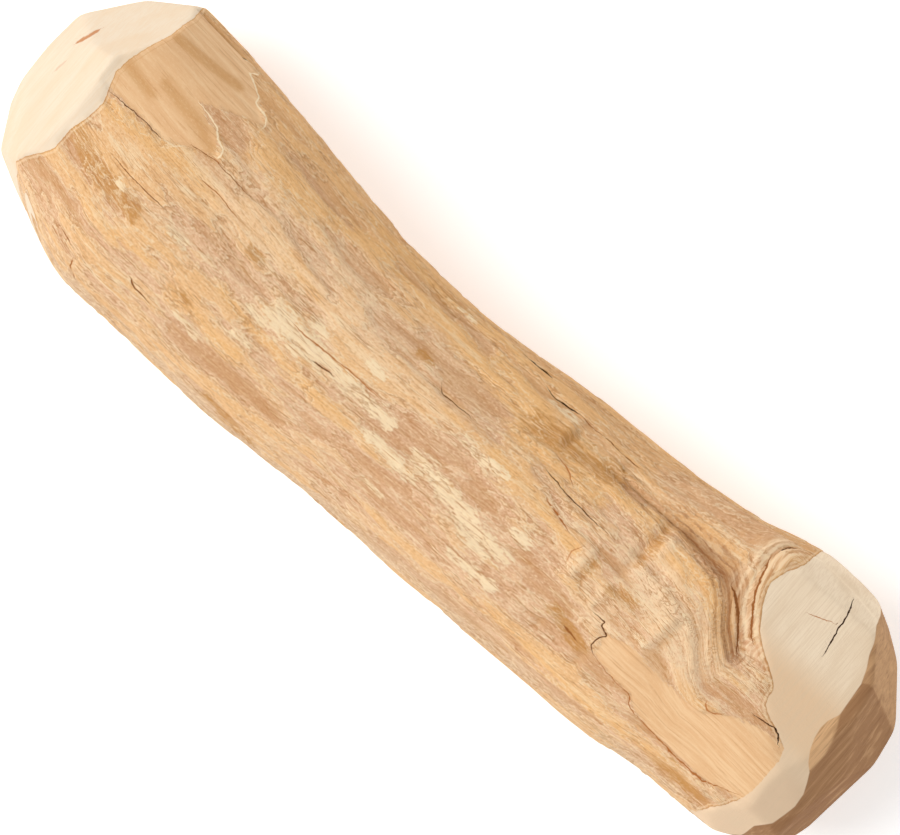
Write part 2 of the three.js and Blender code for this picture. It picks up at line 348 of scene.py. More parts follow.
OCHRE_LIFT = 0.3                # ochre wood stands a layer higher, and mauve wood lies a layer deeper
MAUVE_DROP = 0.4
PATCH_RIM = 0.25
FIBRE_HEIGHT = 0.3              # the fibres along the fold, how fast they repeat across it, and how far
FIBRE_TURN = 3.1
FIBRE_WANDER = 1.5
FIBRE_REACH = 4.5
RING_HEIGHT = 0.22              # the same for the collar's rings, which start a little outside it
RING_TURN = 2.6
RING_START = 0.5
RING_REACH = 3.2
skin_place = straightened(x, angle, np.full(x.shape, SKIN_RADIUS))
sanded = np.maximum.reduce([inside_outline(outline, x, over) for outline in SANDED])
rough = 1 - SANDED_SMOOTHNESS * smooth(sanded, -0.4, 0.8)
layers = grain_noise(skin_place, 24, 5.0, 1, 4)
layers += OCHRE_LIFT * np.clip(patch_field(OCHRE, x, over) + PATCH_RIM, 0, 1)
layers -= MAUVE_DROP * np.clip(patch_field(MAUVE_AND_SHADE_PATCHES, x, over) + PATCH_RIM, 0, 1)
ridges = grain_noise(skin_place, 14, 1.5, 2, 2)
lumps = grain_noise(skin_place, 34, 11, 3, 2)
line_height = line_fields(x, over)[3]

fold_away, _, fold_side = near_path(CROTCH_PATH, x, over)
fold_fibres = FIBRE_HEIGHT * np.sin(fold_side * FIBRE_TURN + FIBRE_WANDER * ridges)
fold_fibres *= np.exp(-(fold_away / FIBRE_REACH) ** 2)
collar_away, _, collar_side = near_path(COLLAR_PATH, x, over)
collar_rings = RING_HEIGHT * np.sin(collar_side * RING_TURN)
collar_rings *= np.exp(-((collar_away - RING_START) / RING_REACH) ** 2)

# Cross wrinkles where the branch squeezed the trunk: x, round, half length, half width, height
WRINKLE_SHARE = 0.75            # of the height listed
WRINKLE_LEAN = 0.1
WRINKLE_WANDER = 0.5
WRINKLES = [
    (18.4, 17.5, 1.0, 3.4, 0.6),
    (20.3, 17.3, 1.0, 3.2, -0.8),
    (36.7, -0.5, 1.1, 4.0, 0.55),
    (38.9, -1.5, 1.1, 3.5, -0.55),
    (43.9, -3.5, 1.1, 3.2, 0.6),
    (42.6, 10.0, 1.2, 5.0, 0.4),
    (44.8, 10.0, 1.0, 7.0, -0.75),
    (46.7, 9.0, 1.1, 6.0, 0.7),
    (48.9, -17.5, 0.9, 2.6, -0.6),
    (38.4, -17.0, 0.9, 2.2, -0.4),
    (56.9, -2.5, 1.0, 5.0, 0.65),
    (58.9, -1.5, 1.0, 4.5, -0.55),
    (52.0, 6.5, 1.2, 4.0, 0.35),
    (32.5, 16.0, 0.8, 3.0, 0.3),
    (26.0, 16.5, 0.9, 2.8, 0.3),
]
wrinkles = np.zeros(x.shape)
for at_x, at_round, half_long, half_wide, tall in WRINKLES:
    bend = WRINKLE_LEAN * (over - at_round) + WRINKLE_WANDER * lumps
    spread = -((x - at_x - bend) / half_long) ** 2 - ((over - at_round) / half_wide) ** 4
    wrinkles += WRINKLE_SHARE * tall * np.exp(spread)

# Where the torn skin ends at each end, on the skin, from the far side to the near side
PLAIN_SKIN_EDGE = [
    (-87.5, 38), (-87, 28), (-87.5, 24), (-87.7, 19), (-89, 14), (-90.3, 9), (-90.7, 5), (-90, 3),
    (-89.2, 1), (-88.5, -1), (-89, -5), (-90, -9), (-90, -14), (-91.5, -17), (-93.5, -21.5), (-94.5, -26),
    (-93, -29), (-92.7, -34), (-90.5, -39), (-86.5, -43), (-83, -48),
]
STUB_SKIN_EDGE = [
    (71, 40), (70.2, 34), (69.8, 27), (69.3, 22.5), (69, 20), (68.3, 18), (67.1, 16), (66.4, 14.5),
    (66.1, 13.4), (66.5, 12.3), (67.4, 10.8), (68.8, 9), (70.4, 7), (72.4, 5.6), (75, 4), (78, 2.6),
    (79.3, 1.7), (80, 0.8), (80.1, -0.6), (80.6, -1.8), (82.4, -2.9), (84.9, -3.6), (87, -4.6), (88.9, -5.5),
    (89.7, -7.5), (89.8, -10.7), (89.9, -14), (89.8, -16), (89.4, -18.6), (88.2, -21.8), (86.6, -26),
    (85.5, -31),
]
SKIN_EDGES = ((PLAIN_SKIN_EDGE, -1), (STUB_SKIN_EDGE, 1))
SKIN_EDGE_REACH = 40            # how far round from the crown they flatten the skin

# The edges between layers: where the noise passes a level, the skin steps up.
LAYER_LEVELS = (-0.28, -0.03, 0.2)
LAYER_EDGE = 0.03
LAYER_STEP = 0.24
RIDGE_HEIGHT = 0.2
LUMP_HEIGHT = 0.35
UNDERSIDE_WEAR = 0.7            # the share of the relief that is worn off where the log lies
UNDERSIDE_FROM = 2.5            # radians from the crown
UNDERSIDE_FULL = 3.0
terraces = sum(smooth(layers, level - LAYER_EDGE, level + LAYER_EDGE) for level in LAYER_LEVELS)
mid_terrace = len(LAYER_LEVELS) / 2
torn = rough * (RIDGE_HEIGHT * ridges + LUMP_HEIGHT * lumps + LAYER_STEP * (terraces - mid_terrace))
torn += wrinkles + line_height + fold_fibres + collar_rings
torn *= 1 - UNDERSIDE_WEAR * smooth(abs(angle), UNDERSIDE_FROM, UNDERSIDE_FULL)
for edge, end in SKIN_EDGES:
    past_edge = smooth(near_path(edge, x, over)[2] * end, -0.3, 0.6)
    torn *= 1 - past_edge * (x * end > 0) * (abs(over) < SKIN_EDGE_REACH)

near, far, under, crown = (station(x, column) for column in (NEAR, FAR, UNDER, CROWN))
height = grown_relief(x, angle) + torn - SANDED_DROP * smooth(sanded, -0.3, 0.3)
log_points = np.stack([
    x,
    (near + far) / 2 + depth * ((far - near) / 2 + height) * np.sin(angle),
    (under + crown) / 2 + depth * ((crown - under) / 2 + height) * np.cos(angle),
], axis=1)

# The sawn ends
# Both ends were sawn and then sanded on a belt into blunt facets, so that no sharp rim is
# left. At +X the largest facet takes the stub of the side branch away flush with the trunk.

# azimuth from the end's own axis towards +Y, elevation, and a point that the facet passes through
PLAIN_END = [
    (-5, 27, (-91.6, -3.5, 47.5)),
    (-5, 20, (-105.7, 4, 18)),
    (7, 20, (-105.7, 4, 18)),
    (35, 21, (-96.2, 23.4, 20)),
    (56, 2, (-92.3, 26, 20)),
    (-23, 14, (-102, -12, 18)),
    (-62, 9, (-95, -19.8, 20)),
    (0, -25, (-105.7, 4, 17)),
    (40, -25, (-98, 21, 17)),
    (-45, -25, (-99, -17, 17)),
    (0, -58, (-88, 0, 1.5)),
]
# The stub end's facets that cut the wood nearly along its grain are pale; those that cut it across are
# darker, with the open pores of end grain, and with painted shade, as they face away from the light.
STUB_ALONG_GRAIN = [
    (30, 65, (83, -1.6, 50)),
    (76, 42, (77, 25, 46.5)),
    (80, 26, (79, 27.4, 37)),
    (86, 10, (80, 28.7, 28)),
    (-25, 38, (91.3, -8.7, 48)),
    (-62, 22, (88.5, -20.6, 40)),
]
STUB_ACROSS_GRAIN = [
    (0, 33, (96.2, 0, 42)),
    (57, 6, (90, 26.6, 18)),
    (38, 14, (98.7, 19.6, 18)),
    (14, 21, (105.4, 9, 18)),
    (-8, 12, (105.0, -4.4, 18)),
    (-42, 3, (101, -19.6, 18)),
    (-57, 5, (92.9, -24.7, 18)),
    (5, -28, (104.4, 3, 16)),
    (45, -28, (97, 20, 16)),
    (-45, -28, (99.6, -19.6, 16)),
    (0, -58, (92, 0, 2)),
]
# Where the darker facets begin, seen from above as (x, y), from the far side to the near side
END_GRAIN_EDGE = [
    (86.5, 29), (87, 26.7), (87.2, 24.7), (88.9, 22), (89.7, 19.6), (91.1, 17.2), (92.2, 14.4), (92.6, 10.4),
    (92.9, 7.3), (91.9, 4.9), (91.7, 3), (92.1, 0.8), (93, -1.5), (94.4, -3.5), (95.9, -4.7), (96.9, -6.4),
    (98, -8.6), (98.4, -11.5), (98, -13.9), (97.4, -16.7), (95.2, -19.4), (95, -24),
]
PLAIN_CORE = np.array((-80.0, 3.0, 25.0))
STUB_CORE = np.array((78.0, 2.0, 25.0))
EDGE_SHARPNESS = 110            # higher leaves a crisper edge between two facets
FAR_LIMIT = 9.0                 # for places that a facet doesn't cut at all
FIELD_LIMIT = 3
CUT_LIMIT = 4
TINY = 1e-6
# How dark each of the darker facets is, in the order of its list: the end grain's own tone and painted shade
ACROSS_SHADE_TONES = np.array([0.9, 0.62, 0.5, 0.9, 1.0, 0.85, 0.9, 0.7, 0.7, 0.8, 0.8])
# A small lighter facet lies between the pale wood and this line, seen from above as (x, y); it takes none of
# the painted shade
LIGHT_FACET_EDGE = [(92.6, 9), (93, 7.3), (95.2, 2.4), (95.9, -0.3), (95.8, -4.7)]


def facet_limits(points, facets, core, end):
    """How far out from the core each point may go before each facet, as a share of its own reach."""
    reach = points - core
    limits = []
    for azimuth, elevation, at in facets:
        a, e = math.radians(azimuth), math.radians(elevation)
        outward = np.array((end * math.cos(a) * math.cos(e), math.sin(a) * math.cos(e), math.sin(e)))
        ahead = reach @ outward
        limit = outward @ (np.array(at) - core) / np.maximum(ahead, TINY)
        limits.append(np.where(ahead > TINY, np.minimum(limit, FAR_LIMIT), FAR_LIMIT))
    return np.array(limits)


def sand_facets(points, limits, core):
    """Pulls what lies beyond the facets back onto them, towards the core, with soft edges."""
    reach = points - core
    kept = (1 + (limits ** -EDGE_SHARPNESS).sum(axis=0)) ** (-1 / EDGE_SHARPNESS)
    removed = (1 - limits.min(axis=0)) * np.linalg.norm(reach, axis=1)
    return core + reach * kept[:, None], removed


plain_limits = facet_limits(log_points, PLAIN_END, PLAIN_CORE, -1)
plain_points, plain_cut = sand_facets(log_points, plain_limits, PLAIN_CORE)
along_limits = facet_limits(log_points, STUB_ALONG_GRAIN, STUB_CORE, 1)
across_limits = facet_limits(log_points, STUB_ACROSS_GRAIN, STUB_CORE, 1)
stub_points, stub_cut = sand_facets(log_points, np.concatenate([along_limits, across_limits]), STUB_CORE)
plain_half = x < 0
points = np.where(plain_half[:, None], plain_points, stub_points)
cut = np.where(plain_half, plain_cut, stub_cut)
stub_reach = np.linalg.norm(stub_points - STUB_CORE, axis=1)
end_grain = (along_limits.min(axis=0) - across_limits.min(axis=0)) * stub_reach

# The drawn edge of the darker facets holds near it on the upper half, and their own edge elsewhere.
away, _, side = near_path(END_GRAIN_EDGE, stub_points[:, 0], stub_points[:, 1])
close = (1 - smooth(away, 4, 7)) * smooth(stub_points[:, 2], 17, 27)
end_grain = end_grain * (1 - close) + close * side
end_grain = np.where(plain_half, -FIELD_LIMIT, np.clip(end_grain, -FIELD_LIMIT, FIELD_LIMIT))
facet_shade_tone = ACROSS_SHADE_TONES[across_limits.argmin(axis=0)]
side = near_path(LIGHT_FACET_EDGE, stub_points[:, 0], stub_points[:, 1])[2]
(_, light_far), (_, light_near) = LIGHT_FACET_EDGE[0], LIGHT_FACET_EDGE[-1]
in_light = (stub_points[:, 1] > light_near) & (stub_points[:, 1] < light_far)
facet_shade_tone = np.where(in_light, facet_shade_tone * smooth(side, -0.3, 0.3), facet_shade_tone)
points[:, 2] = np.maximum(points[:, 2], 0)

# The finish's fields are read at the finished surface, so that they don't slide on the facets.
final_x = points[:, 0]
near, far, under, crown = (station(final_x, column) for column in (NEAR, FAR, UNDER, CROWN))
out_y = (points[:, 1] - (near + far) / 2) / ((far - near) / 2)
out_z = (points[:, 2] - (under + crown) / 2) / ((crown - under) / 2)
final_angle = np.arctan2(out_y, out_z)
final_over = SKIN_RADIUS * final_angle
radius = SKIN_RADIUS * np.where(cut > 0, np.minimum(np.hypot(out_y, out_z), 1), 1)
wood_place = straightened(final_x, final_angle, radius)

# The drawn skin edges hold where the photo shows them. Lower down, the facets' own edges do.
seen = 1 - smooth(abs(final_over), 38, 50)
for edge, end in SKIN_EDGES:
    away, _, side = near_path(edge, final_x, final_over)
    beyond = end * side
    close = seen * np.where(beyond > 0, 1, 1 - smooth(away, 2.0, 4.0)) * (final_x * end > 0)
    cut = cut * (1 - close) + close * beyond
cut = np.clip(cut, -CUT_LIMIT, CUT_LIMIT)

# More colour patches on the skin: cream flakes, brown stains with painted shade in a few grooves, and wood
# that has bleached
PALE = [
    (2.9, 1.0, [(-37, -2.6), (-31, -3.2), (-26, -3.2)]),
    (1.8, 0.9, [(-24, -2.8), (-16, -3.5), (-8, -4)]),
    (1.1, 0.8, [(-31, 1.4), (-28, 0.8)]),
    (1.2, 0.9, [(-18, 2.2), (-15, 2)]),
    (0.9, 0.7, [(-42, -5.4), (-38, -5.8)]),
    (0.9, 0.7, [(-41.5, -11.2), (-38, -10.6)]),
    (1.0, 0.6, [(-52, -17.6), (-46, -18.4)]),
    (0.8, 0.6, [(-63, -6), (-59, -6.3)]),
    (0.7, 0.8, [(-76.5, -7), (-75, -7)]),
    (1.3, 0.8, [(-10, -8.6), (-4, -9), (2, -9.8)]),
    (0.9, 0.7, [(-4, -18.2), (0, -18.4)]),
    (0.8, 0.6, [(-12, 27.2), (-8, 26.8)]),
    (1.5, 0.9, [(0, -5.4), (7, -6.6), (15, -8)]),
    (1.8, 0.9, [(9, -8.2), (16, -9.2), (25, -10.4)]),
    (1.8, 1.0, [(24.6, -4.6), (26.4, -4.8)]),
    (1.3, 0.7, [(16, -11.6), (22, -12.4)]),
    (1.4, 0.7, [(17, -16.8), (27, -17.2)]),
    (1.0, 0.6, [(5, 2.6), (10, 2), (15, 2.4)]),
    (1.2, 0.7, [(13, 22), (18, 21.6)]),
    (0.6, 0.7, [(54, -5.2), (56.4, -5.8)]),
    (0.6, 0.6, [(58, 2.8), (59.4, 2.2)]),
]
STAIN_AND_SHADE_PATCHES = [
    (2.4, 0.8, [(-89, -8), (-80, -9), (-71, -8.6)]),
    (1.3, 1.0, [(-76, -7.8), (-70, -8.1)]),
    (1.6, 0.8, [(-88, -9), (-83, -10.5)]),
    (2.2, 0.6, [(-37, -29), (-30, -31), (-26, -31)]),
    (1.2, 0.8, [(-49, 1.9), (-46.6, 2.1)]),
    (2.0, 1.0, [(-86, 19.5), (-80, 21), (-72, 23.2)]),
    (1.6, 0.6, [(44.6, -1.4), (48.9, -0.8)]),
    (2.2, 0.6, [(-82, 11), (-72, 10.6), (-67.5, 9.4)]),
    (1.8, 0.6, [(-90, 8), (-83, 7.5)]),
    # painted shade where the ridge steps down into the hollow
    (1.4, 0.8, [(20.6, 19.5), (21.4, 15.5)]),
    (4.2, 0.7, [(14, 14), (21, 16), (31, 17)]),
    # painted shade in a cross wrinkle's groove
    (1.2, 0.4, [(45.2, 14), (45.4, 6)]),
    (3.2, 0.6, [(75, -27), (83, -27)]),
    (1.2, 0.5, [(-54, -13), (-52, -13.4)]),
    (1.4, 0.7, [(-12, 11), (-9.6, 10.8)]),
    (2.2, 0.8, [(39, -11.8), (47, -14.6)]),
    # painted shade in a cross wrinkle's groove
    (1.0, 0.5, [(38.8, 1), (39, -4)]),
]
BLEACHED = [
    (2.2, 1.0, [(61.2, 12.8), (61.5, 15.7), (62.2, 19.9), (63.6, 25)]),
    (1.4, 0.9, [(62, 12.4), (65, 10), (68, 7)]),
    (1.4, 0.7, [(65.4, 20), (64.9, 16)]),
    (2.6, 0.8, [(58, 1), (66, -2), (70, -4)]),
    (1.8, 0.6, [(72, 2), (77, -1)]),
    (1.6, 0.6, [(36.8, 3), (36.8, -4)]),
    (1.6, 0.6, [(44, -1), (44, -6)]),
    (1.8, 0.7, [(47, 13), (47.2, 3)]),
    (1.6, 0.6, [(57, 2), (57, -7)]),
    (6.0, 0.9, [(46, 5), (60, 1), (66, -3)]),
    (11.0, 0.4, [(-58, 6), (-4, 6)]),
    (7.0, 0.4, [(46, -8), (60, -8)]),
    (3.0, 0.6, [(46, -5), (54, -11), (58, -12)]),
]

ON_FACET = 0.15                 # millimetres taken off before a place counts as part of a facet
UPPER_HALF = 22
line_side, line_width, line_tone, _ = line_fields(final_x, final_over)
line_width = np.where(cut > ON_FACET, 0, line_width)

# Cracks on the sanded facets, seen from above: path (x, y), half width, tone
FACET_LINES = [
    ([(80.6, 25.2), (81.2, 23.5), (81.8, 21), (81.9, 19.2), (82.5, 16.7), (82.9, 14.1)], 0.15, -1.0),
    ([(75.8, 17.8), (77.6, 18.6), (80.1, 19.5)], 0.08, -0.5),
    ([(-101.1, 7.6), (-100.2, 10.2), (-99.5, 12.4)], 0.34, -0.45),
    ([(-100.7, 0.8), (-100.2, 3.8)], 0.22, -0.2),
]
for path, half_width, tone in FACET_LINES:
    away, along, signed = near_path(path, final_x, points[:, 1])
    close = (away < LINE_REACH) & (cut > ON_FACET) & (points[:, 2] > UPPER_HALF)
    line_side = np.where(close, signed, line_side)
    line_width = np.where(close, half_width * tapered(along, 0.05), line_width)
    line_tone = np.where(close, tone, line_tone)

FOLD_SHADE_REACH = 1.7
FOLD_BAND_REACH = 3.4
RING_BAND_START = 0.8
RING_BAND_REACH = 2.2
away, along, fold_side = near_path(CROTCH_PATH, final_x, final_over)
# where painted shade lies along the crotch fold
fold = np.exp(-(away / FOLD_SHADE_REACH) ** 2) * smooth(along, 0.0, 0.3)
fold_near = np.exp(-(away / FOLD_BAND_REACH) ** 2) * smooth(along, 0.0, 0.2)
away, _, ring_side = near_path(COLLAR_PATH, final_x, final_over)
ring_near = np.exp(-(np.maximum(away - RING_BAND_START, 0) / RING_BAND_REACH) ** 2)
final_sanded = np.maximum.reduce([inside_outline(outline, final_x, final_over) for outline in SANDED])
wood_fields = {
    "cut": cut,
    "end_grain": end_grain,
    "facet_shade_tone": facet_shade_tone,
    "sanded": np.clip(final_sanded, -FIELD_LIMIT, FIELD_LIMIT),
    "layers": layers,
    "pale": patch_field(PALE, final_x, final_over),
    "ochre": patch_field(OCHRE, final_x, final_over),
    "stain_and_shade": patch_field(STAIN_AND_SHADE_PATCHES, final_x, final_over),
    "mauve_and_shade": patch_field(MAUVE_AND_SHADE_PATCHES, final_x, final_over),
    "bleached": patch_field(BLEACHED, final_x, final_over),
    "fold": fold,
    "fold_side": fold_side,
    "fold_near": fold_near,
    "ring_side": ring_side,
    "ring_near": ring_near,
    # how deep the torn relief lies, for painted shade in its hollows
    "hollow_shade": np.clip(-torn, -1, 1),
    "round": final_over,
    "line_side": line_side,
    "line_width": line_width,
    "line_tone": line_tone,
}

for vert, place in zip(log.verts, points * MM):
    vert.co = place
bmesh.ops.recalc_face_normals(log, faces=log.faces)
for face in log.faces:
    face.smooth = True
log_mesh = bpy.data.meshes.new("chew_log")
log.to_mesh(log_mesh)
log.free()
wood = log_mesh.attributes.new("wood_place", "FLOAT_VECTOR", "POINT")
wood.data.foreach_set("vector", wood_place.astype(np.float32).ravel())
for name, values in wood_fields.items():
    stored = log_mesh.attributes.new(name, "FLOAT", "POINT")
    stored.data.foreach_set("value", values.astype(np.float32))
chew = bpy.data.objects.new("chew_log", log_mesh)
bpy.context.scene.collection.objects.link(chew)

# The wood's finish
# Bare, dry, unsealed wood: tan and rose layers with ochre zones, brown and pale hairs along the grain, cream
# flakes where a layer tore off, brown painted shade in the folds and hollows, and pale cream on the sanded
# facets, with painted shade on the darker ones.


def rgb(red, green, blue):
    """A screen colour as the linear colour that a shader takes."""
    linear = [((c / 255 + 0.055) / 1.055) ** 2.4 for c in (red, green, blue)]
    return (*linear, 1.0)


TAN = rgb(237, 194, 151)
WARM_TAN = rgb(236, 190, 141)
# Painted shade: the warmer, deeper tan of the far flank, which turns away from the light
FAR_FLANK_SHADE_TAN = rgb(231, 178, 121)
NEAR_TAN = rgb(219, 186, 153)
ROSE = rgb(230, 185, 147)
MAUVE_AND_SHADE_WOOD = rgb(214, 167, 130)
OCHRE_WOOD = rgb(241, 189, 127)
# brown of the stains and the torn rim, also painted shade in hollows and grooves
STAIN_AND_SHADE_BROWN = rgb(200, 144, 82)
CREAM = rgb(252, 226, 186)
WARM_CREAM = rgb(247, 214, 168)
FIBRE = rgb(248, 214, 170)
BLEACHED_WOOD = rgb(253, 219, 179)
# the brown of the grain, also painted shadow at the foot of the torn layers' steps
GRAIN_AND_SHADOW_BROWN = rgb(188, 132, 82)
DARK_GRAIN = rgb(148, 94, 54)
PITH_BROWN = rgb(194, 122, 66)
GAP = rgb(58, 30, 10)
# painted shade in the crotch fold
FOLD_SHADE_BROWN = rgb(146, 98, 62)
FACET = rgb(237, 218, 193)
STUB_FACET = rgb(255, 233, 203)
LOW_STUB_FACET = rgb(240, 204, 164)
LIGHT_STUB_FACET = rgb(238, 207, 173)
FACET_STREAK = rgb(234, 206, 172)
END_GRAIN = rgb(230, 184, 136)
DARK_END_GRAIN_AND_SHADE = rgb(164, 120, 83)
END_GRAIN_STREAK = rgb(138, 96, 64)
SANDED_TAN = rgb(231, 185, 137)
SANDED_LIGHT = rgb(241, 201, 155)


def add(tree, kind, inputs=(), **settings):
    """A node with its settings made and its sockets filled or linked."""
    made = tree.nodes.new(kind)
    for name, value in settings.items():
        setattr(made, name, value)
    for socket, value in dict(inputs).items():
        if isinstance(value, bpy.types.NodeSocket):
            tree.links.new(value, made.inputs[socket])
        else:
            made.inputs[socket].default_value = value
    return made


def maths(tree, operation, *values):
    return add(tree, "ShaderNodeMath", enumerate(values), operation=operation).outputs[0]


def times(tree, *values):
    product = values[0]
    for value in values[1:]:
        product = maths(tree, "MULTIPLY", product, value)
    return product


def step(tree, value, low, high):
    """0 below low, 1 above high and smooth between; low may be the larger."""
    sockets = {"Value": value, "From Min": low, "From Max": high}
    return add(tree, "ShaderNodeMapRange", sockets, interpolation_type="SMOOTHSTEP").outputs[0]


def band(tree, value, middle, reach):
    """1 where the value is at middle, and 0 from reach away."""
    off = maths(tree, "ABSOLUTE", maths(tree, "SUBTRACT", value, middle))
    return step(tree, off, reach, reach * 0.3)


def mixed(tree, factor, below, above):
    return add(tree, "ShaderNodeMix", {0: factor, 6: below, 7: above}, data_type="RGBA").outputs[2]


def field(tree, name):
    return add(tree, "ShaderNodeAttribute", attribute_name=name).outputs["Fac"]


def drawn_noise(tree, place, scale, detail=3.0, roughness=0.55, distortion=0.0, shift=0.0):
    """Noise with its own scale on each axis, in features per millimetre."""
    moving = {"Vector": place, "Location": (shift, shift, shift), "Scale": scale}
    moved = add(tree, "ShaderNodeMapping", moving)
    sockets = {"Vector": moved.outputs[0], "Scale": 1.0, "Detail": detail, "Roughness": roughness,
               "Distortion": distortion}
    return add(tree, "ShaderNodeTexNoise", sockets).outputs["Fac"]


finish = bpy.data.materials.new("bare_coffee_wood")
finish.use_nodes = True
tree = finish.node_tree
shader = tree.nodes["Principled BSDF"]
place = add(tree, "ShaderNodeAttribute", attribute_name="wood_place").outputs["Vector"]
object_place = add(tree, "ShaderNodeTexCoord").outputs["Object"]
in_mm = add(tree, "ShaderNodeVectorMath", {0: object_place, "Scale": 1 / MM}, operation="SCALE").outputs[0]

# Noise along the grain: features per millimetre on each axis, detail, roughness, distortion, shift
zone = drawn_noise(tree, place, (0.03, 0.16, 0.16), 4, 0.6, 0.5, 2)
streak = drawn_noise(tree, place, (0.09, 0.8, 0.8), 5, 0.66, 0.3, 7)
streak_two = drawn_noise(tree, place, (0.1, 1.0, 1.0), 5, 0.66, 0.3, 83)
hairs = drawn_noise(tree, place, (0.1, 2.1, 2.1), 4, 0.6, 0.3, 3)
wool = drawn_noise(tree, place, (0.6, 2.2, 2.2), 5, 0.75, 0.0, 11)
mottle = drawn_noise(tree, place, (1.5, 3.2, 3.2), 3, 0.7, 0.0, 19)
ragged = drawn_noise(tree, place, (0.36, 1.1, 1.1), 7, 0.72, 0.2, 29)
threads = drawn_noise(tree, place, (0.055, 0.85, 0.85), 4, 0.6, 0.1, 47)
crackle = drawn_noise(tree, place, (0.03, 0.6, 0.6), 4, 0.55, 0.05, 61)
sparse = drawn_noise(tree, place, (0.08, 0.3, 0.3), 3, 0.5, 0.0, 71)


def pushed(tree, value, noise_part, push):
    """A value pushed up and down by noise, so that what it draws gets a ragged rim."""
    return maths(tree, "MULTIPLY_ADD", maths(tree, "SUBTRACT", noise_part, 0.5), push, value)


def patch_mask(tree, name, strength, noise_part, low, high, push):
    """A patch with a ragged rim: 0 where its pushed field is low, and its strength from high on."""
    return times(tree, step(tree, pushed(tree, field(tree, name), noise_part, push), low, high), strength)


def painted(tree, colour, rows):
    """The colour with each row's own over it: pattern, where it starts, where it is full, shares."""
    for pattern, starts, full, shares, paint in rows:
        colour = mixed(tree, times(tree, step(tree, pattern, starts, full), *shares), colour, paint)
    return colour


# The layers, from the deepest to the outermost, with the darker flanks under the ochre and mauve. On the far
# flank, which turns away from the light, the tan is painted shade: warmer and deeper, with fewer woolly
# flecks.
peel = pushed(tree, field(tree, "layers"), ragged, 0.8)
tan = mixed(tree, step(tree, zone, 0.42, 0.6), TAN, WARM_TAN)
colour = mixed(tree, step(tree, peel, -0.6, LAYER_LEVELS[0]), MAUVE_AND_SHADE_WOOD, ROSE)
colour = mixed(tree, step(tree, peel, LAYER_LEVELS[1] - 0.05, LAYER_LEVELS[1] + LAYER_EDGE), colour, tan)
FLANK_SHARE = 0.85
# Painted shade on the far flank
far_flank_shade = step(tree, field(tree, "round"), 8.0, 28.0)
near_side = step(tree, field(tree, "round"), -26.0, -35.0)
colour = mixed(tree, times(tree, far_flank_shade, FLANK_SHARE), colour, FAR_FLANK_SHADE_TAN)
colour = mixed(tree, times(tree, near_side, FLANK_SHARE), colour, NEAR_TAN)
outer = step(tree, peel, LAYER_LEVELS[2] - 0.04, LAYER_LEVELS[2] + 0.1)
ochre_patches = patch_mask(tree, "ochre", 0.9, ragged, -0.2, 0.5, 2.0)
ochre = maths(tree, "MAXIMUM", times(tree, outer, 0.5), ochre_patches)
colour = mixed(tree, ochre, colour, OCHRE_WOOD)
# Mauve patches, one of them painted shade on the lobe's upturned top
colour = mixed(tree, patch_mask(tree, "mauve_and_shade", 0.6, ragged, -0.2, 0.5, 2.6), colour, MAUVE_AND_SHADE_WOOD)
colour = mixed(tree, patch_mask(tree, "bleached", 0.75, streak, -0.1, 0.8, 2.0), colour, BLEACHED_WOOD)

# Stains, a few of them painted shade in grooves, woolly flecks, grain streaks and single fibres
stains_and_shade = patch_mask(tree, "stain_and_shade", 0.9, ragged, -0.1, 0.5, 2.8)
colour = mixed(tree, stains_and_shade, colour, STAIN_AND_SHADE_BROWN)
woolly = maths(tree, "MULTIPLY_ADD", maths(tree, "MAXIMUM", ochre, stains_and_shade), -0.55, 1.0)
woolly = times(tree, woolly, maths(tree, "MULTIPLY_ADD", far_flank_shade, -0.5, 1.0))
colour = painted(tree, colour, [
    (wool, 0.47, 0.28, (woolly, 0.65), GRAIN_AND_SHADOW_BROWN),
    (wool, 0.52, 0.7, (woolly, 0.6), FIBRE),
    (mottle, 0.5, 0.68, (woolly, 0.65), CREAM),
    (mottle, 0.49, 0.3, (0.45,), GRAIN_AND_SHADOW_BROWN),
    (streak, 0.41, 0.3, (0.5,), GRAIN_AND_SHADOW_BROWN),
    (streak_two, 0.57, 0.7, (0.5,), FIBRE),
    (hairs, 0.4, 0.3, (0.55,), GRAIN_AND_SHADOW_BROWN),
    (hairs, 0.58, 0.7, (0.55,), FIBRE),
])

# Cream flakes, the pale and dark lines that outline each torn layer, the dark one painted shadow at the foot
# of the step, and frayed threads
pale_push = pushed(tree, pushed(tree, field(tree, "pale"), ragged, 3.4), wool, 3.6)
pale = times(tree, step(tree, pale_push, 0.05, 0.2), step(tree, hairs, 0.33, 0.4), 0.95)
loose = times(tree, step(tree, pushed(tree, peel, streak_two, 1.6), 0.7, 0.8), 0.35)
flake = mixed(tree, step(tree, mottle, 0.3, 0.55), WARM_CREAM, CREAM)
colour = mixed(tree, maths(tree, "MAXIMUM", pale, loose), colour, flake)
RIM_WIDTH = 0.035
broken = step(tree, sparse, 0.46, 0.58)
for level in LAYER_LEVELS:
    rim = times(tree, band(tree, peel, level + LAYER_EDGE, RIM_WIDTH), 0.6)
    # painted shadow along the foot of the step
    foot_shadow = times(tree, band(tree, peel, level - RIM_WIDTH, RIM_WIDTH), broken, 0.7)
    colour = mixed(tree, rim, colour, CREAM)
    colour = mixed(tree, foot_shadow, colour, GRAIN_AND_SHADOW_BROWN)
cracks = times(tree, band(tree, crackle, 0.5, 0.01), step(tree, sparse, 0.46, 0.56))
colour = mixed(tree, times(tree, cracks, 0.7), colour, GRAIN_AND_SHADOW_BROWN)
frayed = times(tree, step(tree, streak_two, 0.5, 0.6), woolly)
colour = mixed(tree, times(tree, band(tree, threads, 0.54, 0.03), frayed, 0.6), colour, CREAM)
